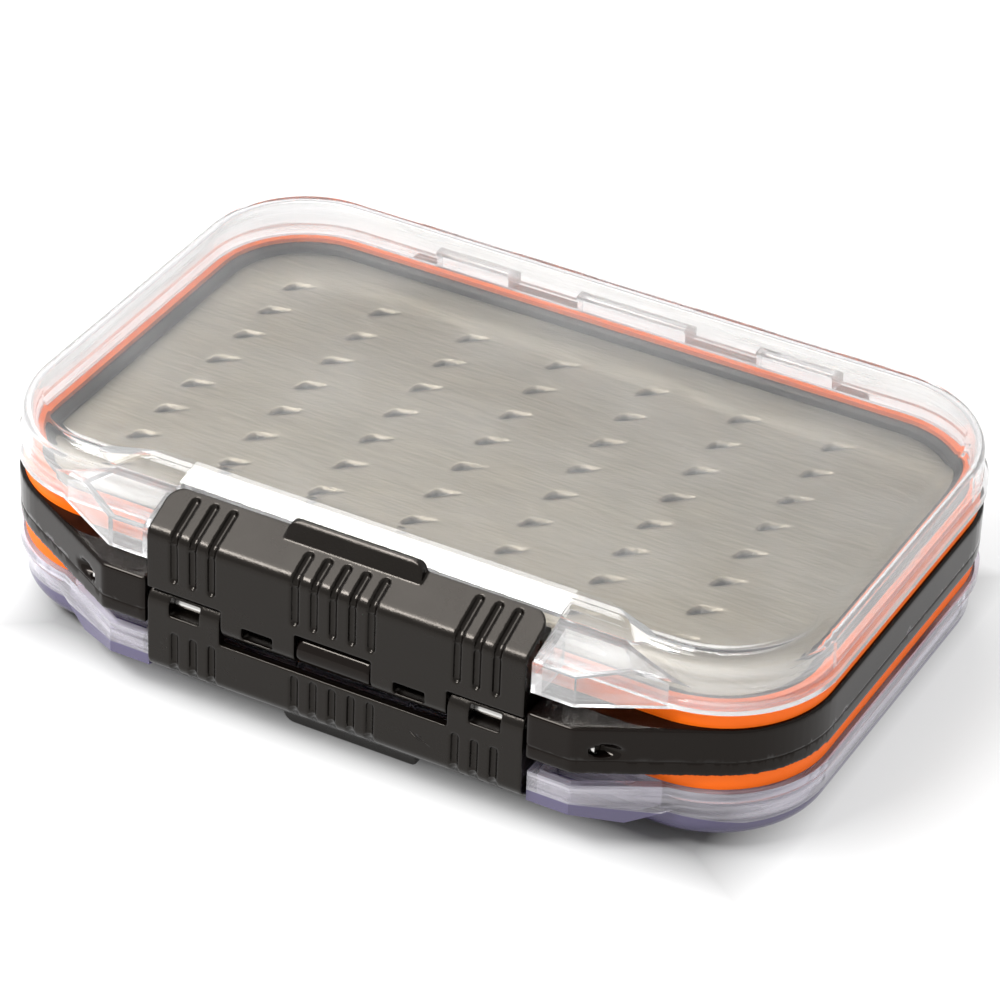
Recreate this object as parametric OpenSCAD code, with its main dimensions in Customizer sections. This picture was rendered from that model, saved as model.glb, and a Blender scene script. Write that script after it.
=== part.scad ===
// Double-sided waterproof fly box. Two clear lids hinge on the back of a black centre
// frame and are held shut by two snap latches that share one pin across the front.
// Modelled about its mid-plane (lid centre at x = 0, y = 0, z = 0), then lifted so that
// the origin is the centre of the bounding box's bottom. +X is along the box, -Y is the
// latch side and +Z is up.

/* [Lids] */
// Half length of a lid at its rim
lid_half_x = 76; // [72:0.5:90]
// Half depth of a lid at its rim
lid_half_y = 48.8; // [46:0.2:60]
// Plan radius of a lid corner at the rim
lid_corner_r = 21.5; // [18:0.5:26]
// Height of the flat outer face above the mid-plane
lid_top_z = 18.2; // [17:0.2:24]
// Height of the rim above the mid-plane
lid_rim_z = 7.8; // [7.8:0.1:8]
// Thickness of the clear wall
lid_wall = 1.8; // [1.5:0.1:2]
// How far the rim flange stands out from the wall
flange_w = 1; // [0.6:0.1:1.2]
// Height of the rim flange
flange_h = 1.9; // [1.4:0.1:2.2]
// Radius of the rounded outer edge
lid_edge_r = 3.5; // [2.5:0.5:4]
// Draft angle of the side wall
lid_draft = 4; // [2:0.5:5]
// Distance from the centre to where the top face starts to slope down to the ears
facet_y = 42.5; // [41.5:0.1:43.5]
// Distance from the centre to where it starts to slope down behind the latch
relief_y = 41.5; // [41:0.1:42]
// Fall of the slope behind the latch, in mm per mm
relief_slope = 0.18; // [0.1:0.01:0.22]

/* [Centre frame] */
// Half height of the black band
band_half_h = 4.5; // [4:0.1:4.5]
// How far the band lies inside the lid's rim
band_inset = 0.3; // [0.2:0.1:0.8]
// Distance from the mid-plane to the top of the raised rim
frame_rim_z = 8; // [7.9:0.1:8.2]
// Width of the raised rim
frame_rim_w = 1.9; // [1.6:0.1:2]
// Half thickness of the centre web
web_half = 0.8; // [0.6:0.1:1]
// Half width of the straight front of the band
front_half_x = 43.8; // [42:0.2:46]
// Distance from the centre to the band's front face
front_y = 57.6; // [57:0.2:58]

/* [Seals] */
// Height of the seal's top lip above the mid-plane
seal_lip_z = 8.6; // [8.4:0.1:8.8]
// Width of the seal's top lip
seal_lip_w = 1.1; // [0.8:0.1:1.1]
// How far the seal's side lies inside the lid's rim
seal_inset = 1.1; // [0.5:0.1:1.2]

/* [Inserts] */
// Height of the silver face above the mid-plane
sheet_z = 6.6; // [6:0.1:7]
// Thickness of the silver sheet
sheet_t = 0.7; // [0.4:0.1:1]
// Gap between an insert and the frame's inner wall
insert_gap = 0.2; // [0.1:0.05:0.4]
// Number of slit rows along the box
slit_rows = 7; // [5:1:7]
// Number of slits in one row
slits_per_row = 8; // [6:1:8]
// Spacing of the rows
row_pitch = 17.5; // [14:0.1:17.8]
// Spacing of the slits in a row
slit_pitch = 9.1; // [7:0.1:9.3]
// Length of one slit's three-cornered mouth
slit_len = 4.9; // [4:0.1:6]
// Width of the mouth at its wide end
slit_w = 2.6; // [1.4:0.1:3]
// Depth of one slit
slit_depth = 2.4; // [1.5:0.1:3]

/* [Latches] */
// Half width of a latch
latch_half_x = 35.1; // [34:0.1:35.1]
// Height of the ridge where the front face turns into the top face
ridge_z = 14.6; // [14:0.1:15]
// Height of the top face at its back edge
crest_z = 18.5; // [18.3:0.1:18.8]
// Distance from the centre to the top face's back edge
crest_y = 48.8; // [48.6:0.1:49]
// Wall thickness of a latch
latch_wall = 1.5; // [1.4:0.1:1.6]
// Half width of the hinge zone that is left to the upper latch's knuckles
knuckle_split_x = 21.2; // [20:0.2:22]
// Radius of the latch knuckles
knuckle_r = 3; // [2.8:0.1:3]
// Radius of the shared steel pin
latch_pin_r = 1; // [0.8:0.1:1]
// Spacing of the grip grooves
groove_pitch = 3.55; // [3.4:0.05:3.6]
// Radius of a grip groove
groove_r = 0.75; // [0.5:0.05:0.8]
// Half width of the finger tab
tab_half_x = 12.6; // [10:0.2:14]
// Height of the finger tab's tip above the mid-plane
tab_z = 20.5; // [19.5:0.1:21]

/* [Lid hinges] */
// Distance from the centre to the hinge pins
hinge_y = 51; // [51:0.1:51.4]
// Height of the hinge pins above and below the mid-plane
hinge_z = 5.2; // [5:0.1:5.2]
// Radius of the lid arms' and frame lugs' eyes
eye_r = 2.3; // [2.1:0.1:2.3]
// Radius of a hinge pin
hinge_pin_r = 0.9; // [0.8:0.05:0.9]

/* [Hidden] */

$fn = 48;
eps = 0.01;

// Centres of the corner arcs, shared by every ring-shaped outline
core_x = lid_half_x - lid_corner_r;
core_y = lid_half_y - lid_corner_r;

// Plan radii about those centres, from the outside in
draft_room = 0.15;
lip_gap = 0.45;
dome_set = 0.1;
wall_r = lid_corner_r - flange_w;
band_r = lid_corner_r - band_inset;
seal_r = lid_corner_r - seal_inset;
cavity_r = wall_r - lid_wall + draft_room;
lip_r = cavity_r - lip_gap;
frame_rim_r = lip_r - seal_lip_w;
well_r = frame_rim_r - frame_rim_w;
insert_r = well_r - insert_gap;

// Fits
pin_fit = 0.05;
joint_gap = 0.25;
seal_gap = 0.1;

// Latch pin axis: the knuckles are flush with the front of the band
latch_axis_y = -front_y + knuckle_r;
pocket_gap = 0.3;
pocket_face_y = latch_axis_y + knuckle_r + pocket_gap;
latch_end_gap = 0.5;
pocket_half_x = latch_half_x + latch_end_gap;
latch_pin_half = 46.9;
pin_port_r = 1.3;
pin_port_x = 43;
frame_knuckle_half = 6.9;
frame_knuckle_r = knuckle_r - 0.1;

// The band's front slants run from the front corners, tangent to the corner arcs
slant_dx = front_half_x - core_x;
slant_dy = front_y - core_y;
slant_dist = sqrt(slant_dx * slant_dx + slant_dy * slant_dy);
slant_a = atan2(-slant_dy, slant_dx) + acos(band_r / slant_dist);
slant_end = [core_x + band_r * cos(slant_a), -core_y + band_r * sin(slant_a)];
slant_slope = (slant_end.y + front_y) / (slant_end.x - front_half_x);

// Lid ears stand each side of the latch and follow the band's front
ear_inset = 1.2;
ear_x0 = latch_half_x + latch_end_gap;
ear_x1 = front_half_x - 0.6;
ear_y = front_y - ear_inset;
ear_root_y = lid_half_y - 3;
ear_x2 = ear_x1 + (ear_y - ear_root_y) / slant_slope;
// Shift along X that draws the ear's slanted side in by one
slant_draw = sqrt(1 + slant_slope * slant_slope) / slant_slope;
ear_front_z = 13.7;
facet_slope = (lid_top_z - ear_front_z) / (ear_y - facet_y);
ear_trim = 0.4;

// The slopes set in over a short bend, and ramps end them towards the lid's corners
bend_w = 3;
bend_steps = 3;
ramp_x = 44;
ramp_a = 21;
ramp_z = lid_top_z - 0.2;
ramp_slope = 0.5;
ear_end_z = 10.5;
ear_wall = 1.5;

// Latch top face
top_slope = (crest_z - ridge_z) / (front_y - crest_y);
top_a = atan(top_slope);
top_normal = [-sin(top_a), cos(top_a)];

// Rounding of the ridge between the front face and the top face
ridge_r = 2.4;
ridge_c = [-front_y + ridge_r, ridge_z - ridge_r * tan((90 - top_a) / 2)];

// Latch shell: its end walls, and the inner lip that drops behind the catch
latch_end_wall = 1.6;
lip_t = 1.5;
lip_z = 14.95;
lip_back_z = 14.5;
latch_clear = 0.6;
end_wall_z = 13;
latch_corner_r = 3;
latch_corner_z = 15.6;
knuckle_notch_z = 3.7;
knuckle_web = 0.6;

// Finger tab: its rounded corners, its thickness, its broken edges and its root in the top face
tab_r = 2.2;
tab_t = 1.2;
tab_bevel = 0.5;
tab_foot = 2.9;
tab_root_z = 17;

// Feet and ends of the grip grooves: a middle group and a shorter group on each side
groove_end_y = -53;
side_groove_x = 26.4;
side_groove_end_y = -50.6;
upper_groove_z = 6.2;
lower_groove_z = 5.3;

// Slots in the latches that show the pin, given as middle, width, foot and height
slot_w = 5.8;
upper_slot_x = 14.2;
upper_slot_z = [-1, 1.3];
lower_slot_x = 28.1;
lower_slot_z = [-1.4, 1.8];

// Catch shelf on the lid, between the ears
shelf_half_x = latch_half_x - 2.6;
shelf_y = 52.6;
shelf_z0 = 12;
shelf_z1 = 14;
catch_z = 14.75;
catch_w = 1.9;
catch_lean = 0.2;

// Root of the shelf and of its ribs in the lid's wall
shelf_root = 2;
rib_t = 1.2;
rib_x = 10;
rib_foot = 0.6;

// Lid hinge arms: a wide middle arm between two narrower ones, with the frame's lugs between them
middle_arm_x = 10.7;
outer_arm_x = [24.7, 39.3];
lug_end_x = 45;
inner_lug_x = [middle_arm_x + joint_gap, outer_arm_x[0] - joint_gap];
outer_lug_x = [outer_arm_x[1] + joint_gap, lug_end_x];
hinge_pin_half = 44.6;
lug_root = 4;
lug_step = 0.1;

// Hinge arm: its root in the lid's wall, the boss above it, its shoulder and its throat
arm_root = 1.6;
arm_boss_h = 2.9;
arm_shoulder = [1.2, 0.6];
arm_throat = [1.8, 1.2];

// The slit grid's middle, off the middle of the insert
grid_dx = -4.6;
grid_dy = -2.1;
// How far the mouth's wide end leans, and how far its point lies above that end's middle
slit_lean = 0.3;
slit_rise = 2.1;

// From the mid-plane to the origin at the bottom of the box
back_y = hinge_y + eye_r;
lift = [0, (front_y - back_y) / 2, tab_z];

// ---------------------------------------------------------------- shared shapes

// Puts a child on the lower half as the mirror image of the upper one
module flip(lower) {
    if (lower) mirror([0, 0, 1]) children();
    else children();
}

// Rounded rectangle whose corner arcs share the common centres
module outline(r) {
    square([2 * (core_x + r), 2 * core_y], center = true);
    square([2 * core_x, 2 * (core_y + r)], center = true);
    for (sx = [-1, 1], sy = [-1, 1]) {
        translate([sx * core_x, sy * core_y]) circle(r, $fn = 96);
    }
}

// Plain ring between two of those outlines
module ring(r_out, r_in, z0, z1) {
    translate([0, 0, z0]) linear_extrude(z1 - z0) difference() {
        outline(r_out);
        outline(r_in);
    }
}

// Sweeps a profile (x = distance from the corner centres, y = height) round the outline
module sweep() {
    for (turn = [0, 180]) rotate([0, 0, turn]) {
        translate([core_x, core_y, 0]) rotate_extrude(angle = 90, $fn = 96) children();
        translate([-core_x, core_y, 0]) rotate([0, 0, 90])
            rotate_extrude(angle = 90, $fn = 96) children();
        translate([-core_x, core_y, 0]) rotate([90, 0, 90]) linear_extrude(2 * core_x) children();
        rotate([0, 0, -90]) translate([-core_y, core_x, 0]) rotate([90, 0, 90])
            linear_extrude(2 * core_y) children();
    }
}

// Half section of a drafted shell with a rounded top edge
module dome_section(r, z0, z1, edge) {
    cx = r - edge - dome_set;
    cz = z1 - edge;
    tip = [cx + edge * cos(lid_draft), cz + edge * sin(lid_draft)];
    foot = tip.x + (tip.y - z0) * tan(lid_draft);
    polygon([[0, z0], [foot, z0], tip, [cx, cz], [cx, z1], [0, z1]]);
    translate([cx, cz]) circle(edge);
}

module dome(r, z0, z1, edge) {
    sweep() dome_section(r, z0, z1, edge);
    translate([-core_x, -core_y, z0]) cube([2 * core_x, 2 * core_y, z1 - z0]);
}

// Prism along X with a side section given in (y, z)
module along_x(x0, x1) {
    translate([x0, 0, 0]) rotate([90, 0, 90]) linear_extrude(x1 - x0) children();
}

// Cylinder along X about an axis at (y, z)
module rod_x(x0, x1, y, z, r, fn = 48) {
    translate([x0, y, z]) rotate([0, 90, 0]) cylinder(h = x1 - x0, r = r, $fn = fn);
}

// ---------------------------------------------------------------- centre frame

// The band's plan outline: a rounded rectangle with a slanted bulge for the latch pin
module band_plan() {
    outline(band_r);
    polygon([[-front_half_x, -front_y], [front_half_x, -front_y], slant_end,
             [core_x, 0], [-core_x, 0], [-slant_end.x, slant_end.y]]);
}

// One hinge lug with an eye for each lid's pin
module lug(x0, x1) {
    along_x(x0, x1) {
        for (s = [-1, 1]) translate([hinge_y, s * hinge_z]) circle(eye_r);
        translate([hinge_y - eye_r, -hinge_z]) square([2 * eye_r, 2 * hinge_z]);
        translate([hinge_y - lug_root, lug_step - band_half_h])
            square([lug_root, 2 * (band_half_h - lug_step)]);
    }
}

module frame() {
    color("#26241f") translate(lift) difference() {
        union() {
            translate([0, 0, -band_half_h]) linear_extrude(2 * band_half_h) band_plan();
            ring(frame_rim_r, well_r, -frame_rim_z, frame_rim_z);
            for (s = [0, 1], x = [inner_lug_x, outer_lug_x]) mirror([s, 0, 0]) lug(x[0], x[1]);
        }
        // Wells for the two inserts, either side of the centre web
        for (z = [web_half, -frame_rim_z - 1]) {
            translate([0, 0, z]) linear_extrude(frame_rim_z + 1 - web_half) outline(well_r);
        }
        // Pocket for the latches, leaving the middle knuckle
        difference() {
            translate([-pocket_half_x, -front_y - 1, -band_half_h - 1])
                cube([2 * pocket_half_x, front_y + 1 + pocket_face_y, 2 * band_half_h + 2]);
            rod_x(-frame_knuckle_half, frame_knuckle_half, latch_axis_y, 0, frame_knuckle_r);
            translate([-frame_knuckle_half, latch_axis_y, -frame_knuckle_r])
                cube([2 * frame_knuckle_half, knuckle_r + 1, 2 * frame_knuckle_r]);
        }
        // Latch pin bore, and the ports that let the pin in through the slants
        rod_x(-pin_port_x - 1, pin_port_x + 1, latch_axis_y, 0, latch_pin_r + pin_fit);
        for (s = [-1, 1]) {
            rod_x(s > 0 ? pin_port_x : -core_x, s > 0 ? core_x : -pin_port_x,
                  latch_axis_y, 0, pin_port_r);
        }
        // Hinge pin bores
        for (s = [-1, 1]) {
            rod_x(-lug_end_x - 1, lug_end_x + 1, hinge_y, s * hinge_z, hinge_pin_r + pin_fit);
        }
    }
}

// ---------------------------------------------------------------- seals and inserts

module seal(lower) {
    color("#f26a21") translate(lift) flip(lower) {
        ring(seal_r, frame_rim_r, band_half_h, lid_rim_z - seal_gap);
        ring(lip_r, frame_rim_r, lid_rim_z - seal_gap - eps, seal_lip_z);
    }
}

module upper_seal() { seal(false); }
module lower_seal() { seal(true); }

// One slit: a notch with a three-cornered mouth, deepest near its wide end and fading to its point
module slit() {
    corners = [[-slit_lean, -slit_w / 2], [slit_lean, slit_w / 2], [slit_len - slit_w / 2, slit_rise]];
    above = 1;
    translate([0, 0, sheet_z + above]) mirror([0, 0, 1])
        linear_extrude(slit_depth + above, scale = 0)
            polygon(corners * (1 + above / slit_depth));
}

module slits() {
    for (i = [0 : slit_rows - 1], j = [0 : slits_per_row - 1]) {
        translate([grid_dx + (i - (slit_rows - 1) / 2) * row_pitch,
                   grid_dy + (j - (slits_per_row - 1) / 2) * slit_pitch, 0]) slit();
    }
}

module pad(lower) {
    color("#3b3b3d") translate(lift) flip(lower) difference() {
        translate([0, 0, web_half]) linear_extrude(sheet_z - sheet_t - web_half) outline(insert_r);
        slits();
    }
}

module upper_pad() { pad(false); }
module lower_pad() { pad(true); }

module sheet(lower) {
    color("#b8b2a8") translate(lift) flip(lower) difference() {
        translate([0, 0, sheet_z - sheet_t]) linear_extrude(sheet_t) outline(insert_r);
        slits();
    }
}

module upper_sheet() { sheet(false); }
module lower_sheet() { sheet(true); }

// ---------------------------------------------------------------- lids

// Plan of one ear, drawn in from its outer face by t
module ear_plan(t) {
    polygon([[ear_x0 + t, -ear_root_y], [ear_x0 + t, -ear_y + t],
             [ear_x1 + t / slant_slope - t * slant_draw, -ear_y + t],
             [ear_x2 - t * slant_draw, -ear_root_y]]);
}

// What lies above a slope that starts at the distance y from the centre, t below the lid's top
module slope_side(y, slope, t) {
    top = lid_top_z - t;
    bend = [for (k = [bend_steps : -1 : 0])
        [bend_w * (0.5 - k / bend_steps) - y, top - slope * bend_w * pow(k / bend_steps, 2) / 2]];
    polygon(concat([[-ear_y - 2, top - slope * (ear_y + 2 - y)]], bend,
                   [[bend_w - y, top + 1], [-ear_y - 2, top + 1]]));
}

// What the slopes take off the lid's front, t below its outer faces
module front_slopes(t) {
    intersection() {
        union() {
            along_x(-ear_x0, ear_x0) slope_side(relief_y, relief_slope, t);
            for (s = [0, 1]) mirror([s, 0, 0])
                along_x(ear_x0, lid_half_x) slope_side(facet_y, facet_slope, t);
        }
        ramp(t);
        mirror([1, 0, 0]) ramp(t);
    }
}

// All that lies above the right-hand ramp
module ramp(t) {
    far = 2 * lid_half_x;
    translate([ramp_x, -facet_y, ramp_z - t]) rotate([0, 0, -ramp_a]) along_x(-far, far)
        polygon([[-far, -far * ramp_slope], [far, far * ramp_slope], [far, far], [-far, far]]);
}

// Side section of an ear, t inside its outer faces. The outer block stands a little high, and the
// slopes trim it.
module ear_side(t, z0) {
    top = (t > 0 ? -t : ear_trim) + ear_front_z;
    polygon([[-ear_y - 1, z0], [-ear_root_y + 1, z0],
             [-ear_root_y + 1, top + (ear_y - ear_root_y + 1) * facet_slope],
             [-ear_y - 1, top - facet_slope]]);
}

// Front view of an ear's top: level beside the latch, then falling to meet the lid's wall
module ear_fall(t) {
    rotate([90, 0, 0]) linear_extrude(lid_half_y + 20)
        polygon([[ear_x0 - 1, 0], [ear_x2 + 1, 0], [ear_x2 + 1, ear_end_z - t],
                 [ear_x1, lid_top_z - t], [ear_x0 - 1, lid_top_z - t]]);
}

module ear(t, z0) {
    intersection() {
        linear_extrude(lid_top_z) ear_plan(t);
        along_x(ear_x0 - 1, ear_x2 + 1) ear_side(t, z0);
        ear_fall(t);
    }
}

// Catch shelf with the small ridge that the latch's lip drops behind
module catch_shelf() {
    along_x(-shelf_half_x, shelf_half_x)
        polygon([[shelf_root - lid_half_y, shelf_z0], [-shelf_y, shelf_z0], [-shelf_y, catch_z],
                 [catch_w - shelf_y, catch_z + catch_lean],
                 [catch_w + catch_lean - shelf_y, shelf_z1], [shelf_root - lid_half_y, shelf_z1]]);
    for (s = [0, 1], x = [rib_x, shelf_half_x - rib_t]) mirror([s, 0, 0]) {
        along_x(x, x + rib_t)
            polygon([[shelf_root - lid_half_y, lid_rim_z + rib_foot],
                     [-lid_half_y - rib_foot, lid_rim_z + rib_foot],
                     [rib_foot - shelf_y, shelf_z0 + seal_gap],
                     [shelf_root - lid_half_y, shelf_z0 + seal_gap]]);
    }
}

// Hinge arm: an eye round the pin, with a boss that runs up the back wall
module arm(x0, x1) {
    along_x(x0, x1) {
        translate([hinge_y, hinge_z]) circle(eye_r);
        polygon([[lid_half_y - arm_root, lid_rim_z], [lid_half_y - joint_gap, lid_rim_z],
                 [hinge_y - arm_throat.x, hinge_z + arm_throat.y], [hinge_y + eye_r, hinge_z],
                 [hinge_y + eye_r, lid_rim_z + arm_shoulder.y],
                 [lid_half_y + arm_shoulder.x, lid_rim_z + arm_boss_h],
                 [lid_half_y - arm_root, lid_rim_z + arm_boss_h]]);
    }
}

module lid(lower) {
    translate(lift) flip(lower) difference() {
        union() {
            dome(wall_r, lid_rim_z, lid_top_z, lid_edge_r);
            ring(lid_corner_r, wall_r - 1, lid_rim_z, lid_rim_z + flange_h);
            for (s = [0, 1]) mirror([s, 0, 0]) ear(0, lid_rim_z);
            catch_shelf();
            arm(-middle_arm_x, middle_arm_x);
            for (s = [0, 1]) mirror([s, 0, 0]) arm(outer_arm_x[0], outer_arm_x[1]);
        }
        front_slopes(0);
        difference() {
            dome(cavity_r, lid_rim_z - 1, lid_top_z - lid_wall, lid_edge_r - lid_wall);
            front_slopes(lid_wall);
        }
        for (s = [0, 1]) mirror([s, 0, 0]) difference() {
            ear(ear_wall, lid_rim_z - 1);
            linear_extrude(lid_top_z) outline(wall_r);
        }
        rod_x(-lug_end_x, lug_end_x, hinge_y, hinge_z, hinge_pin_r + pin_fit);
    }
}

module upper_lid() { color("#e8e6ee", 0.35) lid(false); }
module lower_lid() { color("#c9c3da", 0.35) lid(true); }

// ---------------------------------------------------------------- latches

// Solid side section of a latch above the height z0, pulled in by t
module latch_section(t, z0) {
    r = ridge_r - t;
    difference() {
        union() {
            polygon([[-front_y + t, z0], [-front_y + t, ridge_c.y], ridge_c,
                     ridge_c + r * top_normal,
                     ridge_c + r * top_normal + 20 * [cos(top_a), sin(top_a)],
                     [-crest_y + 20, z0]]);
            translate(ridge_c) circle(r);
        }
        translate([t > 0 ? 0 : -crest_y, -50]) square([60, 100]);
    }
}

// The shell: front wall, sloping top wall, end walls and the lip that snaps behind the catch
module latch_shell(z0) {
    lip_y = -crest_y - lip_t;
    difference() {
        along_x(-latch_half_x, latch_half_x) latch_section(0, z0);
        along_x(-latch_half_x + latch_end_wall, latch_half_x - latch_end_wall) difference() {
            latch_section(latch_wall, z0 - 1);
            polygon([[lip_y, lip_z], [lip_y, 2 * lip_z], [0, 2 * lip_z], [0, lip_back_z],
                     [-crest_y, lip_back_z]]);
        }
        // The end walls stay clear of the frame and of the lid's rim
        along_x(-latch_half_x - 1, latch_half_x + 1)
            polygon([[latch_axis_y + knuckle_r, 0], [latch_axis_y + knuckle_r, band_half_h + latch_clear],
                     [-lid_half_y - latch_clear, lid_rim_z - latch_clear],
                     [-lid_half_y - latch_clear, end_wall_z], [0, end_wall_z + 1], [0, 0]]);
    }
}

// One grip groove: up the front face from its foot at z0, over the ridge, and along the top face
// to y1
module groove(x, z0, y1) {
    top0 = ridge_c + ridge_r * top_normal;
    run = (y1 - top0.x) / cos(top_a);
    translate([x, -front_y, z0]) {
        cylinder(h = ridge_c.y - z0, r = groove_r, $fn = 24);
        sphere(groove_r, $fn = 24);
    }
    translate([x, ridge_c.x, ridge_c.y]) rotate([90, 0, 90]) rotate([0, 0, 90 + top_a])
        rotate_extrude(angle = 90 - top_a, $fn = 48) translate([ridge_r, 0]) circle(groove_r, $fn = 24);
    translate([x, top0.x, top0.y]) rotate([-90 + top_a, 0, 0]) {
        cylinder(h = run, r = groove_r, $fn = 24);
        translate([0, 0, run]) sphere(groove_r, $fn = 24);
    }
}

module grooves(z0) {
    for (k = [-2 : 2]) groove(k * groove_pitch, z0, groove_end_y);
    for (s = [-1, 1], k = [-1 : 1]) {
        groove(s * side_groove_x + k * groove_pitch, z0, side_groove_end_y);
    }
}

// A pair of slots through the knuckles to the pin
module pin_slots(x, z) {
    for (s = [-1, 1]) {
        translate([s * x - slot_w / 2, -front_y - 1, z[0]]) cube([slot_w, knuckle_r + 1, z[1] - z[0]]);
    }
}

// Finger tab: a rounded lip standing up from the back edge of the top face
module tab() {
    intersection() {
        along_x(-tab_half_x, tab_half_x)
            polygon([[-crest_y - tab_foot, tab_root_z],
                     [-crest_y - tab_t - tab_bevel, tab_z - tab_bevel], [-crest_y - tab_t, tab_z],
                     [-crest_y - tab_bevel, tab_z], [-crest_y, tab_z - tab_bevel],
                     [-crest_y, tab_root_z]]);
        translate([0, -crest_y + 1, 0]) rotate([90, 0, 0]) linear_extrude(tab_foot + 2) {
            translate([-tab_half_x, tab_root_z - 1])
                square([2 * tab_half_x, tab_z - tab_r - tab_root_z + 1]);
            translate([tab_r - tab_half_x, tab_root_z - 1])
                square([2 * (tab_half_x - tab_r), tab_z - tab_root_z + 1]);
            for (s = [-1, 1]) translate([s * (tab_half_x - tab_r), tab_z - tab_r]) circle(tab_r);
        }
    }
}

// Plan rounding of the shell's back corners
module latch_rounding() {
    r = latch_corner_r;
    for (s = [-1, 1]) {
        translate([s * (latch_half_x - r), -crest_y - r, latch_corner_z]) difference() {
            translate([s > 0 ? 0 : -r - 1, 0, 0]) cube([r + 1, r + 1, tab_z - latch_corner_z]);
            cylinder(h = tab_z - latch_corner_z, r = r);
        }
    }
}

module upper_latch() {
    k0 = frame_knuckle_half + joint_gap;
    k1 = knuckle_split_x - joint_gap / 2;
    color("#2b2a29") translate(lift) difference() {
        union() {
            difference() {
                union() {
                    latch_shell(knuckle_r + 0.2);
                    tab();
                }
                grooves(upper_groove_z);
                latch_rounding();
            }
            for (s = [-1, 1]) {
                rod_x(s > 0 ? k0 : -k1, s > 0 ? k1 : -k0, latch_axis_y, 0, knuckle_r);
            }
            along_x(-k1, k1)
                translate([-front_y, 0]) square([latch_wall + knuckle_web, knuckle_r + 1]);
        }
        translate([-k0, -front_y - 1, -knuckle_r - 1])
            cube([2 * k0, 2 * knuckle_r + 2, knuckle_r + 1 + knuckle_notch_z]);
        pin_slots(upper_slot_x, upper_slot_z);
        rod_x(-k1 - 1, k1 + 1, latch_axis_y, 0, latch_pin_r + pin_fit);
    }
}

module lower_latch() {
    k0 = knuckle_split_x + joint_gap / 2;
    k1 = latch_half_x;
    color("#2b2a29") translate(lift) difference() {
        union() {
            difference() {
                mirror([0, 0, 1]) union() {
                    latch_shell(knuckle_r + 0.7);
                    tab();
                }
                mirror([0, 0, 1]) {
                    grooves(lower_groove_z);
                    latch_rounding();
                }
            }
            for (s = [-1, 1]) {
                rod_x(s > 0 ? k0 : -k1, s > 0 ? k1 : -k0, latch_axis_y, 0, knuckle_r);
                along_x(s > 0 ? k0 : -k1, s > 0 ? k1 : -k0)
                    translate([-front_y, -knuckle_r - 1])
                        square([latch_wall + knuckle_web, knuckle_r + 1]);
            }
        }
        pin_slots(lower_slot_x, lower_slot_z);
        rod_x(-k1 - 1, k1 + 1, latch_axis_y, 0, latch_pin_r + pin_fit);
    }
}

// ---------------------------------------------------------------- pins

module latch_pin() {
    color("#c9c9cc") translate(lift)
        rod_x(-latch_pin_half, latch_pin_half, latch_axis_y, 0, latch_pin_r);
}

module hinge_pin(s) {
    color("#c9c9cc") translate(lift)
        rod_x(-hinge_pin_half, hinge_pin_half, hinge_y, s * hinge_z, hinge_pin_r);
}

module upper_hinge_pin() { hinge_pin(1); }
module lower_hinge_pin() { hinge_pin(-1); }

frame();
upper_seal();
lower_seal();
upper_pad();
lower_pad();
upper_sheet();
lower_sheet();
upper_lid();
lower_lid();
upper_latch();
lower_latch();
latch_pin();
upper_hinge_pin();
lower_hinge_pin();
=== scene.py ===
import math

import bmesh
import bpy
from mathutils import Matrix, Vector


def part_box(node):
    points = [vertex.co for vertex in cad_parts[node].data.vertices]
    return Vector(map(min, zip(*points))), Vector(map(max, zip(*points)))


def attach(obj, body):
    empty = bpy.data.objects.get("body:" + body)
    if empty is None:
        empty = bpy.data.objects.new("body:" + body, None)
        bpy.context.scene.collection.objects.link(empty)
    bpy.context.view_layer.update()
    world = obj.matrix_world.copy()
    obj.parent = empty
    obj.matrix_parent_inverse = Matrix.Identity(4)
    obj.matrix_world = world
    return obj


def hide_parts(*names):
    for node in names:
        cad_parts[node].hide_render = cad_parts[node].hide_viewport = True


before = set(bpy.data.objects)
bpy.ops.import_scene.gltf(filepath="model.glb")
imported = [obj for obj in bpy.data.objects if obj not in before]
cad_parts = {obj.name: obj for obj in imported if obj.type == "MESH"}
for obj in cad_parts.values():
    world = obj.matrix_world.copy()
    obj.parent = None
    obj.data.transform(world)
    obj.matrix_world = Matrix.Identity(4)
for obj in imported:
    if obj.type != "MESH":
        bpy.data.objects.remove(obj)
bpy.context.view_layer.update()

MM = 0.001


# ------------------------------------------------------------------ small helpers


def srgb(hex_colour, alpha=1.0):
    """An sRGB hex value as the linear colour that the shaders take."""
    parts = [int(hex_colour[i : i + 2], 16) / 255 for i in (1, 3, 5)]
    linear = [c / 12.92 if c <= 0.04045 else ((c + 0.055) / 1.055) ** 2.4 for c in parts]
    return (*linear, alpha)


def add_node(material, kind, settings=None, inputs=None):
    """Adds one shader node. An input is a plain value or the output socket it links from."""
    tree = material.node_tree
    node = tree.nodes.new(kind)
    for name, value in (settings or {}).items():
        setattr(node, name, value)
    for name, value in (inputs or {}).items():
        if isinstance(value, bpy.types.NodeSocket):
            tree.links.new(value, node.inputs[name])
        else:
            node.inputs[name].default_value = value
    return node


def new_material(name, shader_inputs):
    """A material with one Principled shader, and the Object coordinates its patterns read."""
    material = bpy.data.materials.new(name)
    material.use_nodes = True
    material.node_tree.nodes.clear()
    shader = add_node(material, "ShaderNodeBsdfPrincipled", inputs=shader_inputs)
    output = add_node(material, "ShaderNodeOutputMaterial", inputs={"Surface": shader.outputs["BSDF"]})
    place = add_node(material, "ShaderNodeTexCoord").outputs["Object"]
    return material, shader, output, place


def repeats(size):
    """The scale of a pattern whose features are this many mm across."""
    return 1 / (size * MM)


def give(name, material):
    """Puts a material on a CAD node."""
    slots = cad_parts[name].data.materials
    slots.clear()
    slots.append(material)


# ------------------------------------------------------------------ materials


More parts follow.
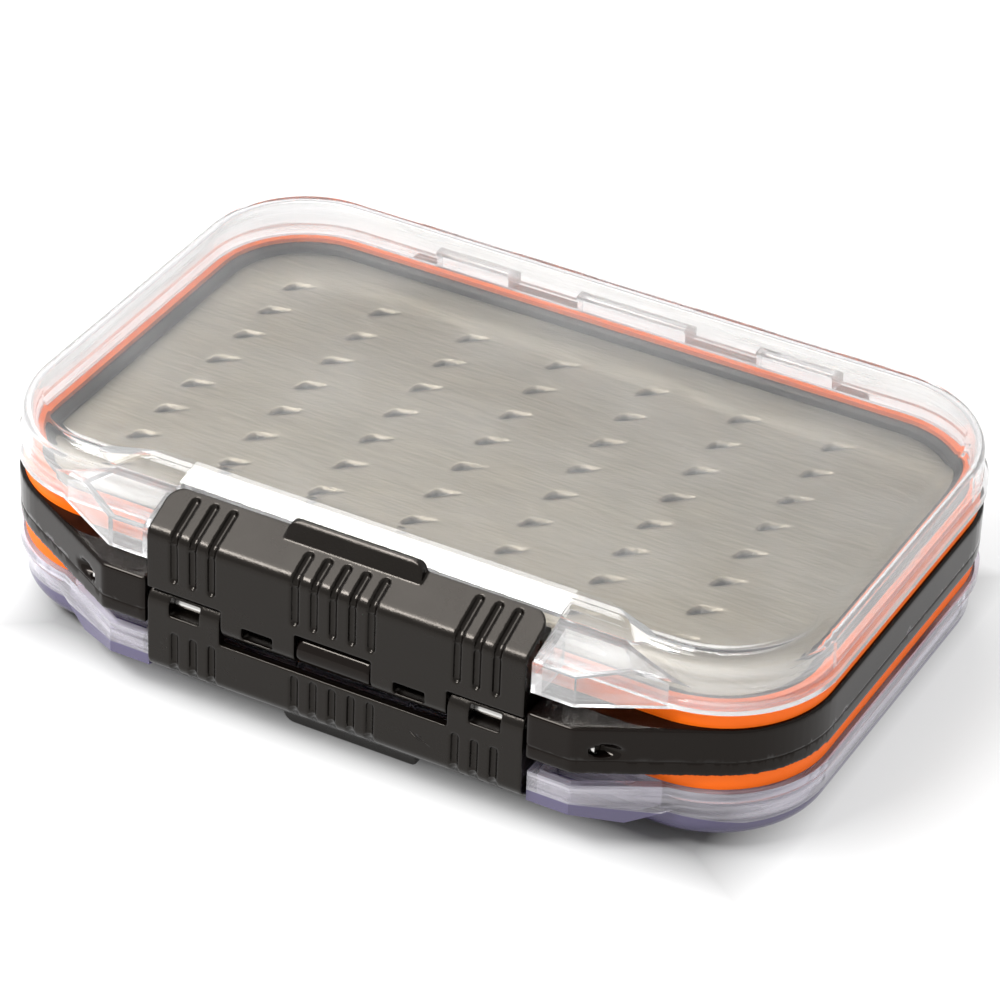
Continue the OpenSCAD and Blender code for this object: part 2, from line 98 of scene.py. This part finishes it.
def height_mask(material, place, low, high):
    """0 below the height low and 1 above the height high, both in metres."""
    split = add_node(material, "ShaderNodeSeparateXYZ", inputs={"Vector": place})
    return add_node(material, "ShaderNodeMapRange", {"interpolation_type": "SMOOTHSTEP"}, {
        "Value": split.outputs["Z"], "From Min": low, "From Max": high,
    }).outputs["Result"]


def clear_polycarbonate(name, tint, depth, haze, haze_low, haze_high, edge=None):
    """Injection-moulded clear polycarbonate: mirror gloss on the polished face, and side walls with
    faint flow marks along them, so that they look milky. A tint shows only where light runs a long
    way through the wall, as at the rims and ears. Where an edge is given, the band round the rounded
    edge of the outer face is painted a darker colour and lets less light through: the lid's own violet
    darkened by painted shade for the dark table that the edge reflects inside the wall."""
    material, shader, output, place = new_material(name, {
        "Base Color": srgb("#ffffff"),
        "IOR": 1.585,
        "Roughness": 0.02,
    })
    along, apart = repeats(20.0), repeats(0.8333)
    stretched = add_node(material, "ShaderNodeMapping", inputs={
        "Vector": place, "Scale": (along, along, apart),
    })
    marks = add_node(material, "ShaderNodeTexNoise", inputs={
        "Vector": stretched.outputs["Vector"], "Scale": 1.0, "Detail": 3.0,
    })
    wall = height_mask(material, place, haze_low, haze_high)
    streaks = add_node(material, "ShaderNodeMapRange", inputs={
        "Value": marks.outputs["Fac"], "From Min": 0.3, "From Max": 0.75,
        "To Min": haze[0], "To Max": haze[1],
    })
    walls_only = add_node(material, "ShaderNodeMath", {"operation": "MULTIPLY"}, {0: wall})
    material.node_tree.links.new(streaks.outputs["Result"], walls_only.inputs[1])
    clear = add_node(material, "ShaderNodeMath", {"operation": "SUBTRACT"}, {0: 1.0})
    material.node_tree.links.new(walls_only.outputs["Value"], clear.inputs[1])
    if edge is None:
        material.node_tree.links.new(clear.outputs["Value"], shader.inputs["Transmission Weight"])
    else:
        painted_edge_colour, edge_low, edge_high, slope_start, slope = edge
        facing = add_node(material, "ShaderNodeTexCoord").outputs["Normal"]
        level = add_node(material, "ShaderNodeSeparateXYZ", inputs={"Vector": facing})
        flat = add_node(material, "ShaderNodeMath", {"operation": "ABSOLUTE"}, {0: level.outputs["Z"]})
        side = add_node(material, "ShaderNodeMapRange", inputs={
            "Value": flat.outputs["Value"], "From Min": 0.97, "From Max": 0.9,
        })
        spot = add_node(material, "ShaderNodeSeparateXYZ", inputs={"Vector": place})
        past = add_node(material, "ShaderNodeMath", {"operation": "SUBTRACT"}, {
            0: slope_start, 1: spot.outputs["Y"],
        })
        front = add_node(material, "ShaderNodeMath", {"operation": "MAXIMUM"}, {
            0: past.outputs["Value"], 1: 0.0,
        })
        rise = add_node(material, "ShaderNodeMath", {"operation": "MULTIPLY"}, {
            0: front.outputs["Value"], 1: slope,
        })
        above = add_node(material, "ShaderNodeMath", {"operation": "SUBTRACT"}, {
            0: spot.outputs["Z"], 1: rise.outputs["Value"],
        })
        near = add_node(material, "ShaderNodeMapRange", inputs={
            "Value": above.outputs["Value"], "From Min": edge_low, "From Max": edge_high,
        }).outputs["Result"]
        band = add_node(material, "ShaderNodeMath", {"operation": "MULTIPLY"}, {
            0: side.outputs["Result"], 1: near,
        })
        # Painted shade: the band's dark violet is the lid's own tint darkened for the dark table
        # reflected inside the rounded edge, and the band is also made less clear
        colour = add_node(material, "ShaderNodeMix", {"data_type": "RGBA"}, {
            "Factor": band.outputs["Value"],
        })
        colour.inputs[6].default_value = srgb("#f6f3fb")
        colour.inputs[7].default_value = srgb(painted_edge_colour)
        painted_band_transmission = add_node(material, "ShaderNodeMix", {"data_type": "FLOAT"}, {
            "Factor": band.outputs["Value"],
        })
        material.node_tree.links.new(clear.outputs["Value"], painted_band_transmission.inputs[2])
        painted_band_transmission.inputs[3].default_value = 0.35
        material.node_tree.links.new(colour.outputs[2], shader.inputs["Base Color"])
        material.node_tree.links.new(painted_band_transmission.outputs[0], shader.inputs["Transmission Weight"])
    absorb = add_node(material, "ShaderNodeVolumeAbsorption", inputs={
        "Color": srgb(tint), "Density": depth,
    })
    material.node_tree.links.new(absorb.outputs["Volume"], output.inputs["Volume"])
    return material


def satin_black_abs():
    """Satin black ABS from a spark-eroded mould: near black, with a soft sheen that a pebble grain of
    about 0.35 mm breaks up, and that handling has polished in patches of about 7 mm."""
    material, shader, output, place = new_material("satin_black_abs", {
        "Base Color": srgb("#070504"),
        "IOR": 1.5,
        "Specular IOR Level": 0.28,
        "Specular Tint": srgb("#fff5ea"),
    })
    grain = add_node(material, "ShaderNodeTexNoise", inputs={
        "Vector": place, "Scale": repeats(0.3448), "Detail": 2.0,
    })
    wear = add_node(material, "ShaderNodeTexNoise", inputs={
        "Vector": place, "Scale": repeats(7.143), "Detail": 4.0,
    })
    gloss = add_node(material, "ShaderNodeMapRange", inputs={
        "Value": wear.outputs["Fac"], "From Min": 0.3, "From Max": 0.7, "To Min": 0.2, "To Max": 0.3,
    })
    bump = add_node(material, "ShaderNodeBump", inputs={
        "Height": grain.outputs["Fac"], "Strength": 0.6, "Distance": 0.04 * MM,
    })
    material.node_tree.links.new(gloss.outputs["Result"], shader.inputs["Roughness"])
    material.node_tree.links.new(bump.outputs["Normal"], shader.inputs["Normal"])
    return material


def gloss_black_abs():
    """Polished black ABS: gloss over a faint waviness of about 15 mm, dulled by scuffs of about 1 mm."""
    material, shader, output, place = new_material("gloss_black_abs", {
        "Base Color": srgb("#0b0706"),
        "IOR": 1.5,
        "Specular IOR Level": 0.19,
        "Specular Tint": srgb("#fff5ea"),
    })
    waves = add_node(material, "ShaderNodeTexNoise", inputs={
        "Vector": place, "Scale": repeats(15.385), "Detail": 1.0,
    })
    scuffs = add_node(material, "ShaderNodeTexNoise", inputs={
        "Vector": place, "Scale": repeats(1.111), "Detail": 4.0,
    })
    gloss = add_node(material, "ShaderNodeMapRange", inputs={
        "Value": scuffs.outputs["Fac"], "From Min": 0.45, "From Max": 0.8, "To Min": 0.08, "To Max": 0.22,
    })
    bump = add_node(material, "ShaderNodeBump", inputs={
        "Height": waves.outputs["Fac"], "Strength": 0.2, "Distance": 0.25 * MM,
    })
    material.node_tree.links.new(gloss.outputs["Result"], shader.inputs["Roughness"])
    material.node_tree.links.new(bump.outputs["Normal"], shader.inputs["Normal"])
    return material


def orange_silicone():
    """Moulded orange silicone rubber: saturated, with a weak soft sheen and a matt bloom in patches of
    about 1.4 mm."""
    material, shader, output, place = new_material("orange_silicone", {
        "Base Color": srgb("#f96c0c"),
        "IOR": 1.41,
        "Specular IOR Level": 0.3,
    })
    bloom = add_node(material, "ShaderNodeTexNoise", inputs={
        "Vector": place, "Scale": repeats(1.4286), "Detail": 3.0,
    })
    sheen = add_node(material, "ShaderNodeMapRange", inputs={
        "Value": bloom.outputs["Fac"], "To Min": 0.38, "To Max": 0.6,
    })
    material.node_tree.links.new(sheen.outputs["Result"], shader.inputs["Roughness"])
    return material


def closed_cell_foam():
    """Dark closed-cell polyethylene foam: matt, with cells of about 0.4 mm."""
    material, shader, output, place = new_material("closed_cell_foam", {
        "Roughness": 0.9,
    })
    cells = add_node(material, "ShaderNodeTexVoronoi", inputs={"Vector": place, "Scale": repeats(0.4)})
    colour = add_node(material, "ShaderNodeMix", {"data_type": "RGBA"}, {
        "Factor": cells.outputs["Distance"],
    })
    colour.inputs[6].default_value = srgb("#1d1c1d")
    colour.inputs[7].default_value = srgb("#373638")
    bump = add_node(material, "ShaderNodeBump", inputs={
        "Height": cells.outputs["Distance"], "Strength": 0.5, "Distance": 0.1 * MM,
    })
    material.node_tree.links.new(colour.outputs[2], shader.inputs["Base Color"])
    material.node_tree.links.new(bump.outputs["Normal"], shader.inputs["Normal"])
    return material


def brushed_metal_film(name, face, into):
    """Brushed metal-faced film: warm silver with streaks of about 0.4 by 8 mm along the box, a grain of
    about 0.4 mm, and the soft swells, about 18 mm across, of a thin film laid on foam. Down the
    notches, from the height face to the height into, the colour turns dark grey, dull and not metallic:
    partly the foam where the film is cut, partly painted shade on the notch slopes."""
    material, shader, output, place = new_material(name, {})
    foam_and_painted_shade = height_mask(material, place, face, into)
    length, width = repeats(8.333), repeats(0.3846)
    stretched = add_node(material, "ShaderNodeMapping", inputs={
        "Vector": place, "Scale": (length, width, length),
    })
    streaks = add_node(material, "ShaderNodeTexNoise", inputs={
        "Vector": stretched.outputs["Vector"], "Scale": 1.0, "Detail": 3.0,
    })
    grain = add_node(material, "ShaderNodeTexNoise", inputs={
        "Vector": place, "Scale": repeats(0.41667), "Detail": 2.0,
    })
    mixed = add_node(material, "ShaderNodeMix", {"data_type": "FLOAT"}, {"Factor": 0.1})
    material.node_tree.links.new(streaks.outputs["Fac"], mixed.inputs[2])
    material.node_tree.links.new(grain.outputs["Fac"], mixed.inputs[3])
    colour = add_node(material, "ShaderNodeValToRGB", inputs={"Fac": mixed.outputs[0]})
    colour.color_ramp.elements[0].position = 0.3
    colour.color_ramp.elements[0].color = srgb("#777164")
    colour.color_ramp.elements[1].position = 0.7
    colour.color_ramp.elements[1].color = srgb("#958d7f")
    swells = add_node(material, "ShaderNodeTexNoise", inputs={
        "Vector": place, "Scale": repeats(18.182), "Detail": 1.0,
    })
    swell_bump = add_node(material, "ShaderNodeBump", inputs={
        "Height": swells.outputs["Fac"], "Strength": 0.15, "Distance": 0.4 * MM,
    })
    bump = add_node(material, "ShaderNodeBump", inputs={
        "Height": mixed.outputs[0], "Strength": 0.05, "Distance": 0.02 * MM,
        "Normal": swell_bump.outputs["Normal"],
    })
    gloss = add_node(material, "ShaderNodeMapRange", inputs={
        "Value": mixed.outputs[0], "To Min": 0.33, "To Max": 0.42,
    })
    faced = add_node(material, "ShaderNodeMix", {"data_type": "RGBA"}, {"Factor": foam_and_painted_shade})
    material.node_tree.links.new(colour.outputs["Color"], faced.inputs[6])
    # Dark grey down the notch slopes: partly the foam where the film is cut, partly painted shade
    faced.inputs[7].default_value = srgb("#4b4845")
    metal = add_node(material, "ShaderNodeMapRange", inputs={
        "Value": foam_and_painted_shade, "To Min": 1.0, "To Max": 0.0,
    })
    dulled = add_node(material, "ShaderNodeMix", {"data_type": "FLOAT"}, {"Factor": foam_and_painted_shade})
    material.node_tree.links.new(gloss.outputs["Result"], dulled.inputs[2])
    dulled.inputs[3].default_value = 0.85
    material.node_tree.links.new(faced.outputs[2], shader.inputs["Base Color"])
    material.node_tree.links.new(metal.outputs["Result"], shader.inputs["Metallic"])
    material.node_tree.links.new(dulled.outputs[0], shader.inputs["Roughness"])
    material.node_tree.links.new(bump.outputs["Normal"], shader.inputs["Normal"])
    return material


def bright_steel():
    """Drawn steel wire: bright, with a tight reflection that the die streaked along the wire, in lines
    of about 0.25 by 7 mm."""
    material, shader, output, place = new_material("bright_steel", {
        "Base Color": srgb("#d8d6d3"),
        "Metallic": 1.0,
    })
    length, width = repeats(6.667), repeats(0.25)
    stretched = add_node(material, "ShaderNodeMapping", inputs={
        "Vector": place, "Scale": (length, width, width),
    })
    lines = add_node(material, "ShaderNodeTexNoise", inputs={
        "Vector": stretched.outputs["Vector"], "Scale": 1.0, "Detail": 2.0,
    })
    gloss = add_node(material, "ShaderNodeMapRange", inputs={
        "Value": lines.outputs["Fac"], "To Min": 0.12, "To Max": 0.3,
    })
    material.node_tree.links.new(gloss.outputs["Result"], shader.inputs["Roughness"])
    return material


# Half sides of the patch under the box that gets no painted glow. The glow sets in between 0.85 and
# 1.05 times these.
SHADED_X = 72.0 * MM
SHADED_Y = 52.0 * MM


def pale_floor():
    """Matt pale grey floor with a painted glow all round the box but not under it, so that it looks
    white and shadows stay faint."""
    material, shader, output, place = new_material("glowing_floor", {
        "Base Color": srgb("#909090"),
        "Roughness": 0.8,
        "Emission Color": srgb("#ffffff"),
    })
    spread = add_node(material, "ShaderNodeVectorMath", {"operation": "ABSOLUTE"}, {0: place})
    sides = add_node(material, "ShaderNodeSeparateXYZ", inputs={"Vector": spread.outputs["Vector"]})
    along = add_node(material, "ShaderNodeMath", {"operation": "DIVIDE"}, {
        0: sides.outputs["X"], 1: SHADED_X,
    })
    across = add_node(material, "ShaderNodeMath", {"operation": "DIVIDE"}, {
        0: sides.outputs["Y"], 1: SHADED_Y,
    })
    outside = add_node(material, "ShaderNodeMath", {"operation": "MAXIMUM"}, {
        0: along.outputs["Value"], 1: across.outputs["Value"],
    })
    # Painted light: the floor emits round the box so that its shadow stays faint
    painted_glow = add_node(material, "ShaderNodeMapRange", inputs={
        "Value": outside.outputs["Value"], "From Min": 0.85, "From Max": 1.05,
        "To Min": 0.0, "To Max": 0.56,
    })
    material.node_tree.links.new(painted_glow.outputs["Result"], shader.inputs["Emission Strength"])
    return material


latch_black = satin_black_abs()
frame_black = gloss_black_abs()
silicone = orange_silicone()
foam = closed_cell_foam()
steel = bright_steel()

# The polished face of each lid ends this far from its outermost height, and the milky wall is full
# from the second distance on
FACE_ENDS = 0.6 * MM
WALL_STARTS = 3.0 * MM
upper_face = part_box("upper_lid")[1][2]
lower_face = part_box("lower_lid")[0][2]

# The lower lid's band of painted violet shade fades out between these heights above its face. In front of
# SLOPE_START it climbs with the ears' facets.
PAINTED_BAND_TOP = 3.7 * MM
PAINTED_BAND_FULL = 3.5 * MM
SLOPE_START = -40.35 * MM
FACET_SLOPE = 0.22

give("upper_lid", clear_polycarbonate("clear_polycarbonate", "#f3eef4", 14.0, (0.06, 0.32),
                                      upper_face - FACE_ENDS, upper_face - WALL_STARTS))
# The lower lid's edge band is painted #625b7c: its own violet darkened by painted shade
give("lower_lid", clear_polycarbonate("violet_clear_polycarbonate", "#c6bce8", 50.0, (0.05, 0.4),
                                      lower_face + FACE_ENDS, lower_face + WALL_STARTS,
                                      ("#625b7c", lower_face + PAINTED_BAND_TOP, lower_face + PAINTED_BAND_FULL,
                                       SLOPE_START, FACET_SLOPE)))
for name in ("upper_latch", "lower_latch"):
    give(name, latch_black)
give("frame", frame_black)
for name in ("upper_seal", "lower_seal"):
    give(name, silicone)
for name in ("latch_pin", "upper_hinge_pin", "lower_hinge_pin"):
    give(name, steel)


# ------------------------------------------------------------------ film-faced foam inserts

# Middle of the box, the insert's half sides and the radius of its corners, in mm, and the number of
# steps that each corner is cut round in
MIDDLE_Y = 2.15
MIDDLE_Z = 20.5
INSERT_X = 69.7
INSERT_Y = 42.5
CORNER_R = 15.2
CORNER_STEPS = 14
# Heights of the film's face and of the frame's centre web above the middle, and the sheet's cell
FACE_Z = 6.6
WEB_Z = 0.8
CELL = 0.45
# How far below the film's face the notch starts to darken and is fully dark: partly the foam where the
# film is cut, partly painted shade on the slopes
NOTCH_DARK_STARTS = 0.06
NOTCH_DARK_FULL = 0.75

# The notches stand in 7 rows of 8, a little turned against the box. Each is a triangle with an upright
# wall at its wide end, from which the film slopes up to its point. Lengths are in mm.
ROWS = 7
ROW_NOTCHES = 8
ROW_PITCH = 17.5
NOTCH_PITCH = 9.15
GRID_MIDDLE = Vector((-5.4, -1.6))
GRID_TURN = math.radians(1.8)
NOTCH_DEPTH = 2.4
WIDE_END = (Vector((-0.4, -1.4)), Vector((0.2, 1.4)))
POINT = Vector((4.0, 2.2))
DEEPEST = Vector((0.1, -0.1))
# Share of a row's pitch by which the middles of its notches lie past their wide ends
ROW_SHIFT = 0.08


def side_distance(spot, start, end):
    """Distance of a spot to the right of the line from start to end."""
    along = end - start
    return (spot - start).cross(along) / along.length


def notch_depth(x, y):
    """How far a knife notch presses the film and foam in at a point, in mm."""
    spot = Matrix.Rotation(-GRID_TURN, 2) @ (Vector((x, y)) - GRID_MIDDLE)
    row = min(max(round(spot.x / ROW_PITCH + (ROWS - 1) / 2 - ROW_SHIFT), 0), ROWS - 1)
    place = min(max(round(spot.y / NOTCH_PITCH + (ROW_NOTCHES - 1) / 2), 0), ROW_NOTCHES - 1)
    spot -= Vector(((row - (ROWS - 1) / 2) * ROW_PITCH, (place - (ROW_NOTCHES - 1) / 2) * NOTCH_PITCH))
    foot, head = WIDE_END
    slopes = [side_distance(spot, a, b) / side_distance(DEEPEST, a, b)
              for a, b in ((head, POINT), (POINT, foot))]
    wall = (side_distance(spot, foot, head) + 0.3) / 0.5
    fall = min(slopes[0] + 0.12, slopes[1] + 0.12, 1.0)
    return NOTCH_DEPTH * max(0.0, fall) ** 1.3 * min(max(wall, 0.0), 1.0)


def film_faced_insert():
    """The upper insert: a dense sheet, cut to its rounded outline and pressed in at each notch, whose
    border runs down to the centre web."""
    shape = bmesh.new()
    across = round(2 * INSERT_X / CELL)
    deep = round(2 * INSERT_Y / CELL)
    bmesh.ops.create_grid(shape, x_segments=across, y_segments=deep, size=1.0)
    bmesh.ops.scale(shape, vec=(INSERT_X, INSERT_Y, 1.0), verts=shape.verts)
    centre = Vector((INSERT_X - CORNER_R, INSERT_Y - CORNER_R, 0))
    for side in (-1, 1):
        for end in (-1, 1):
            for step in range(1, CORNER_STEPS):
                angle = math.radians(90 * step / CORNER_STEPS)
                out = Vector((side * math.cos(angle), end * math.sin(angle), 0))
                middle = Vector((side * centre.x, end * centre.y, 0))
                faces = [f for f in shape.faces if side * f.calc_center_median().x > centre.x
                         and end * f.calc_center_median().y > centre.y]
                edges = {e for f in faces for e in f.edges}
                verts = {v for f in faces for v in f.verts}
                bmesh.ops.bisect_plane(shape, geom=[*verts, *edges, *faces], dist=0.001,
                                       plane_co=middle + out * CORNER_R, plane_no=out, clear_outer=True)
    for vert in shape.verts:
        vert.co.z = FACE_Z - notch_depth(vert.co.x, vert.co.y)
    for face in shape.faces:
        face.smooth = True
    border = [e for e in shape.edges if e.is_boundary]
    for edge in border:
        edge.smooth = False
    wall = bmesh.ops.extrude_edge_only(shape, edges=border)["geom"]
    for item in wall:
        if isinstance(item, bmesh.types.BMVert):
            item.co.z = WEB_Z
        elif isinstance(item, bmesh.types.BMFace):
            item.material_index = 1
    underside = bmesh.ops.holes_fill(shape, edges=[e for e in shape.edges if e.is_boundary], sides=0)
    for face in underside["faces"]:
        face.material_index = 1
    bmesh.ops.recalc_face_normals(shape, faces=shape.faces)
    return shape


def place_insert(shape, side, upright):
    """Sets the insert in one well of the frame. The lower one is the mirror image of the upper one."""
    half = shape.copy()
    bmesh.ops.scale(half, vec=(MM, MM, upright * MM), verts=half.verts)
    if upright < 0:
        bmesh.ops.reverse_faces(half, faces=half.faces)
    bmesh.ops.translate(half, vec=(0, MIDDLE_Y * MM, MIDDLE_Z * MM), verts=half.verts)
    mesh = bpy.data.meshes.new(side + "_insert")
    half.to_mesh(mesh)
    half.free()
    face = (MIDDLE_Z + upright * (FACE_Z - NOTCH_DARK_STARTS)) * MM
    into = (MIDDLE_Z + upright * (FACE_Z - NOTCH_DARK_FULL)) * MM
    mesh.materials.append(brushed_metal_film(side + "_brushed_metal_film", face, into))
    mesh.materials.append(foam)
    piece = bpy.data.objects.new(side + "_insert", mesh)
    bpy.context.scene.collection.objects.link(piece)
    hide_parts(side + "_sheet", side + "_pad")
    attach(piece, "frame_body")


insert_shape = film_faced_insert()
place_insert(insert_shape, "upper", 1)
place_insert(insert_shape, "lower", -1)
insert_shape.free()


# ------------------------------------------------------------------ moulded black parts


WEAR_ROUNDS = 5


def moulded(name, body, voxel, keep, material):
    """A copy of a CAD node whose sharp edges are worn to the small radius that a moulding has. It is
    made anew in cells of the size voxel, smoothed, and thinned to the share keep of its faces."""
    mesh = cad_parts[name].data.copy()
    shape = bmesh.new()
    shape.from_mesh(mesh)
    bmesh.ops.remove_doubles(shape, verts=shape.verts, dist=0.001 * MM)
    shape.to_mesh(mesh)
    shape.free()
    piece = bpy.data.objects.new("moulded_" + name, mesh)
    bpy.context.scene.collection.objects.link(piece)
    skin = piece.modifiers.new("skin", "REMESH")
    skin.mode = "VOXEL"
    skin.voxel_size = voxel
    skin.use_smooth_shade = True
    wear = piece.modifiers.new("wear", "SMOOTH")
    wear.iterations = WEAR_ROUNDS
    thin = piece.modifiers.new("thin", "DECIMATE")
    thin.ratio = keep
    worn = piece.evaluated_get(bpy.context.evaluated_depsgraph_get())
    piece.data = bpy.data.meshes.new_from_object(worn)
    piece.modifiers.clear()
    piece.data.materials.clear()
    piece.data.materials.append(material)
    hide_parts(name)
    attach(piece, body)
    return piece


# The line where the frame's two mouldings meet: its height above the middle of the band, half its
# width and its depth, in mm
SEAM_Z = -1.8
SEAM_HALF = 0.14
SEAM_DEPTH = 0.16
# Middle of the band's corner arc, and the distance from it past which only the band's outer side lies
ARC_MIDDLE = Vector((54.5, 27.3))
OUTER_SIDE = 20.0


def cut_seam(piece):
    """Presses a fine line into the outer side of the frame's band."""
    shape = bmesh.new()
    shape.from_mesh(piece.data)
    for offset in (-SEAM_HALF, 0, SEAM_HALF):
        bmesh.ops.bisect_plane(shape, geom=[*shape.verts, *shape.edges, *shape.faces], dist=0.00001 * MM,
                               plane_co=(0, 0, (MIDDLE_Z + SEAM_Z + offset) * MM), plane_no=(0, 0, 1))
    for vert in shape.verts:
        if abs(vert.co.z / MM - MIDDLE_Z - SEAM_Z) < SEAM_HALF / 4:
            past = (max(abs(vert.co.x) / MM - ARC_MIDDLE.x, 0),
                    max(abs(vert.co.y / MM - MIDDLE_Y) - ARC_MIDDLE.y, 0))
            if Vector(past).length > OUTER_SIDE:
                vert.co -= vert.normal * SEAM_DEPTH * MM
    shape.to_mesh(piece.data)
    shape.free()


# The lower latch's front is lifted by this much at its ridge. The lift grows between two distances in
# front of the box's middle and between two depths below it. All are in mm.
RIDGE_LIFT = 2.1
LIFT_FORWARD = (51.5, 56.5)
LIFT_BELOW = (6.5, 12.5)


def smooth_step(value, start, end):
    """Runs from 0 at start to 1 at end with soft ends."""
    share = min(max((value - start) / (end - start), 0.0), 1.0)
    return share * share * (3 - 2 * share)


def shorten_front(piece):
    """Lifts the lower latch's ridge, so that its front is a little shorter than the upper one's and
    its finger tab shows below it."""
    for vert in piece.data.vertices:
        forward = -vert.co.y / MM + MIDDLE_Y
        below = MIDDLE_Z - vert.co.z / MM
        lift = smooth_step(forward, *LIFT_FORWARD) * smooth_step(below, *LIFT_BELOW)
        vert.co.z += RIDGE_LIFT * MM * lift


moulded("upper_latch", "upper_latch_body", 0.2 * MM, 0.4, latch_black)
shorten_front(moulded("lower_latch", "lower_latch_body", 0.2 * MM, 0.4, latch_black))
cut_seam(moulded("frame", "frame_body", 0.4 * MM, 0.3, frame_black))


# ------------------------------------------------------------------ floor, light and camera

FLOOR_HALF_SIDE = 3.0
FLOOR_GAP = 0.2 * MM


def floor():
    """The table top, a hair below the box, so that the two never share a face."""
    mesh = bpy.data.meshes.new("floor")
    shape = bmesh.new()
    bmesh.ops.create_grid(shape, x_segments=1, y_segments=1, size=FLOOR_HALF_SIDE)
    bmesh.ops.translate(shape, vec=(0, 0, -FLOOR_GAP), verts=shape.verts)
    shape.to_mesh(mesh)
    shape.free()
    plane = bpy.data.objects.new("floor", mesh)
    bpy.context.scene.collection.objects.link(plane)
    mesh.materials.append(pale_floor())


def studio_sky():
    """Even white light from all round."""
    world = bpy.data.worlds.new("studio")
    bpy.context.scene.world = world
    world.use_nodes = True
    background = world.node_tree.nodes["Background"]
    background.inputs["Color"].default_value = (1, 1, 1, 1)
    background.inputs["Strength"].default_value = 0.8


def softbox(name, place, target, width, depth, power):
    """A rectangular lamp at a place, turned to a target. Sizes are in metres and power in watts."""
    data = bpy.data.lights.new(name, "AREA")
    data.shape = "RECTANGLE"
    data.size = width
    data.size_y = depth
    data.energy = power
    lamp = bpy.data.objects.new(name, data)
    bpy.context.scene.collection.objects.link(lamp)
    towards = (Vector(target) - Vector(place)).normalized()
    lamp.rotation_mode = "QUATERNION"
    lamp.rotation_quaternion = towards.to_track_quat("-Z", "Y")
    lamp.location = place
    return data


def fade(lamp, width_share, depth_share):
    """Dims a softbox towards one side and one end, over shares of its width and depth."""
    lamp.use_nodes = True
    tree = lamp.node_tree
    spot = tree.nodes.new("ShaderNodeNewGeometry")
    sides = tree.nodes.new("ShaderNodeSeparateXYZ")
    tree.links.new(spot.outputs["Parametric"], sides.inputs["Vector"])
    both = tree.nodes.new("ShaderNodeMath")
    both.operation = "MULTIPLY"
    for socket, side, share in (("X", 0, width_share), ("Y", 1, depth_share)):
        ramp = tree.nodes.new("ShaderNodeMapRange")
        ramp.interpolation_type = "SMOOTHSTEP"
        ramp.inputs["From Max"].default_value = share
        tree.links.new(sides.outputs[socket], ramp.inputs["Value"])
        tree.links.new(ramp.outputs["Result"], both.inputs[side])
    tree.links.new(both.outputs["Value"], tree.nodes["Emission"].inputs["Strength"])


# Fitted to the outline, rims, latch edges and knuckles in the photograph
CAMERA_AZIMUTH = math.radians(27.15)
CAMERA_ELEVATION = math.radians(34.22)
CAMERA_ROLL = math.radians(2.33)
CAMERA_DISTANCE = 0.8054
CAMERA_TARGET = Vector((-0.04, 1.90, 19.79)) * MM
CAMERA_LENS = 169.7


def photo_camera():
    """The camera at the photograph's angle."""
    data = bpy.data.cameras.new("photo_camera")
    data.lens = CAMERA_LENS
    data.sensor_width = 36.0
    data.clip_start = 0.01
    data.clip_end = 20.0
    camera = bpy.data.objects.new("photo_camera", data)
    bpy.context.scene.collection.objects.link(camera)
    a, e = CAMERA_AZIMUTH, CAMERA_ELEVATION
    back = Vector((math.sin(a) * math.cos(e), -math.cos(a) * math.cos(e), math.sin(e)))
    right = Vector((math.cos(a), math.sin(a), 0))
    up = back.cross(right)
    c, s = math.cos(CAMERA_ROLL), math.sin(CAMERA_ROLL)
    axes = (c * right + s * up, c * up - s * right, back)
    turn = Matrix(axes).transposed().to_4x4()
    camera.matrix_world = Matrix.Translation(CAMERA_TARGET + back * CAMERA_DISTANCE) @ turn
    bpy.context.scene.camera = camera


floor()
studio_sky()
# The key light stands behind the box, where the lid's slope behind the latch and its rounded edges
# mirror it
fade(softbox("key_softbox", (-0.35, 0.526, 0.79), (-0.35, 0, 0.03), 0.5, 0.34, 4.6), 0.12, 0.45)
# The overhead light brightens the latches' sloping faces
softbox("top_softbox", (-0.36, -0.1, 0.92), (0, 0, 0.02), 0.55, 0.55, 5.3)
# The front light draws the highlights along ridges and rounded edges
softbox("front_softbox", (-0.36, -0.47, 0.75), (0, 0, 0.02), 0.45, 0.22, 11.0)
photo_camera()
bpy.context.scene.view_settings.view_transform = "Standard"
